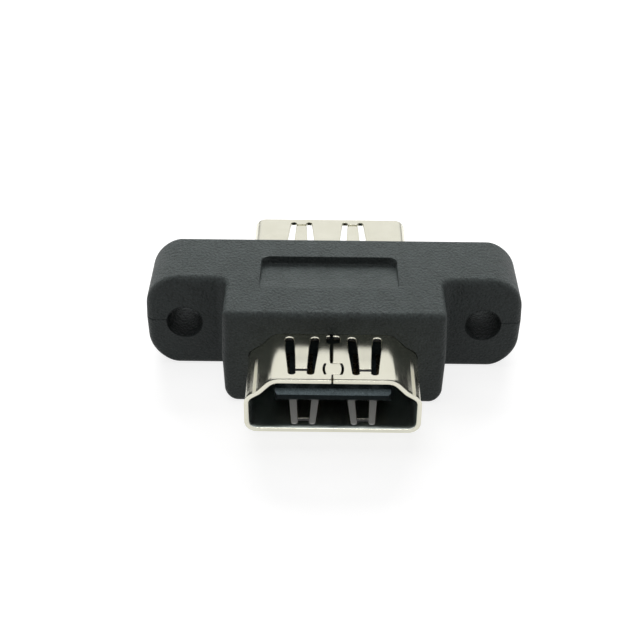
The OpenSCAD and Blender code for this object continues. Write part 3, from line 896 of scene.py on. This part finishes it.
# A duller copy of the plate for the shells' inner faces; its cooler, greener colour is painted
# shade of the interior
inside_shade_plate = nickel("nickel_inside_painted_shade", (0.61, 0.66, 0.63), (0.67, 0.72, 0.69), 0.27, 0.36)
# The insulator's reflections are tinted blue and brightened on its bevels: painted highlight
tongue_plastic = smooth_plastic(
    "black_insulator", (0.012, 0.016, 0.017), (0.02, 0.026, 0.028), 0.26, (0.75, 0.93, 1, 1), True
)
inner_plastic = smooth_plastic(
    "grey_inner_moulding", (0.06, 0.063, 0.065), (0.08, 0.083, 0.086), 0.5
)
laminate = smooth_plastic("green_laminate", (0.012, 0.09, 0.035), (0.02, 0.12, 0.05), 0.35)

housing = make_housing()
dress(housing, plastic)
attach(housing, "root")
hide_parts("housing")

# The front shell's cut walls carry painted shade; the rear shell's same walls keep the plate
for name, shift, flare, place, cad, walls in (
    ("front_stamped_shell", FRONT_SPRING_SHIFT, FRONT_FLARE, at_front, "front_shell", shaded_cut_edge),
    ("rear_stamped_shell", REAR_SPRING_SHIFT, 0.0, at_rear, "rear_shell", plate),
):
    shell = make_shell(name, shift, flare, place)
    dress(shell, plate, walls, inside_shade_plate)
    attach(shell, "root")
    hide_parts(cad)

for name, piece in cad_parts.items():
    if "insulator" in name:
        dress(piece, tongue_plastic)
    elif "contact" in name:
        dress(piece, shaded_gold)
    elif name == "core":
        dress(piece, inner_plastic)
    elif name == "circuit_board":
        dress(piece, laminate)


# ---- stage ----
def seen_rays(tree, share=1.0):
    """1 for what the camera sees itself, the share for what it sees mirrored, 0 for light."""
    rays = node(tree, "ShaderNodeLightPath").outputs
    mirrored = maths(tree, "MULTIPLY", rays["Is Glossy Ray"], share)
    return maths(tree, "MAXIMUM", rays["Is Camera Ray"], mirrored)


def make_floor():
    """A floor that glows white round the part; under the part the glow fades out in a soft patch, a
    painted shadow over the lamps' own.
    """
    half, z = 1500.0, -BODY_H / 2
    floor = mesh_object(
        "floor", [(-half, -half, z), (half, -half, z), (half, half, z), (-half, half, z)],
        [[0, 1, 2, 3]],
    )
    look, tree, shader = material("white_floor")
    wire(tree, shader, Base_Color=grey(0.3), Roughness=0.9, Specular_IOR_Level=0.0)
    # The painted shadow's middle lies this far in front of the panel face
    middle = (0, 9.2 * MM, 0)
    painted_shadow, white = 0.07, 0.82
    moved_place = node(
        tree, "ShaderNodeMapping", Vector=coordinate(tree, "Object"), Location=middle
    )
    x, y, z = split(tree, moved_place.outputs["Vector"])
    wide = fade(tree, maths(tree, "ABSOLUTE", x), 4.2 * MM, 7.8 * MM, painted_shadow, white)
    deep = fade(tree, maths(tree, "ABSOLUTE", y), 6.7 * MM, 7.4 * MM, painted_shadow, white)
    level = maths(tree, "MULTIPLY", seen_rays(tree, 0.88), maths(tree, "MAXIMUM", wide, deep))
    glow = node(tree, "ShaderNodeEmission", Strength=level)
    both = node(tree, "ShaderNodeAddShader")
    tree.links.new(shader.outputs[0], both.inputs[0])
    tree.links.new(glow.outputs[0], both.inputs[1])
    tree.links.new(both.outputs[0], tree.nodes["Material Output"].inputs["Surface"])
    dress(floor, look)
    return floor


floor = make_floor()

# Reflections see a room that is bright overhead and dim near the horizon
world = bpy.data.worlds.new("studio")
bpy.context.scene.world = world
world.use_nodes = True
tree = world.node_tree
height = split(tree, coordinate(tree, "Generated"))[2]
room = fade(tree, height, 0.08, 0.26, 0.4, 1.0)
level = fade(tree, seen_rays(tree), 0.0, 1.0, 0.1, room, "LINEAR")
wire(tree, tree.nodes["Background"], Color=grey(1), Strength=level)


def lamp(name, place, size, watts, mirrored=False):
    """A square soft box, in metres, that looks at the part; mirrored: seen in reflections."""
    data = bpy.data.lights.new(name, "AREA")
    data.shape = "SQUARE"
    data.size = size
    data.energy = watts
    made = bpy.data.objects.new(name, data)
    made.location = place
    made.rotation_euler = (-Vector(place)).to_track_quat("-Z", "Y").to_euler()
    made.visible_glossy = mirrored
    bpy.context.scene.collection.objects.link(made)


lamp("key", (-0.05, 0.02, 0.34), 0.22, 0.35)
lamp("back", (0.0, 0.19, 0.112), 0.2, 1.02)
lamp("front", (0.0, -0.213, 0.227), 0.05, 0.06, True)

# ---- camera: found from the photograph by fitting the part's known sizes ----
# Millimetres and degrees; ACROSS and ALONG are its shift to the left and upwards
DISTANCE, ELEVATION, YAW, ROLL = 118.0, 34.134, 0.134, 0.576
FOCAL_PX, PX_PER_MM = 1279.05, 10.8
ACROSS, ALONG = 13.862 / PX_PER_MM, 3.872 / PX_PER_MM
PICTURE_PX, SENSOR = 640, 36.0
elevation, yaw, roll = (math.radians(a) for a in (ELEVATION, YAW, ROLL))
right = Vector((math.cos(yaw), math.sin(yaw), 0))
towards = Vector((math.sin(yaw), -math.cos(yaw), 0))
back = towards * math.cos(elevation) + Vector((0, 0, math.sin(elevation)))
up = Vector((0, 0, math.cos(elevation))) - towards * math.sin(elevation)
place = Vector((0, -FLANGE_T, 0)) + DISTANCE * back - ACROSS * right + ALONG * up
rolled_right = right * math.cos(roll) + up * math.sin(roll)
rolled_up = up * math.cos(roll) - right * math.sin(roll)
camera_data = bpy.data.cameras.new("camera")
camera_data.sensor_width = SENSOR
camera_data.lens = FOCAL_PX / PICTURE_PX * SENSOR
camera_data.clip_start = 0.001
camera = bpy.data.objects.new("camera", camera_data)
bpy.context.scene.collection.objects.link(camera)
turn = Matrix((rolled_right, rolled_up, back)).transposed().to_4x4()
camera.matrix_world = Matrix.Translation(place * MM) @ turn
bpy.context.scene.camera = camera

bpy.context.scene.view_settings.view_transform = "Standard"

bpy.context.view_layer.update()
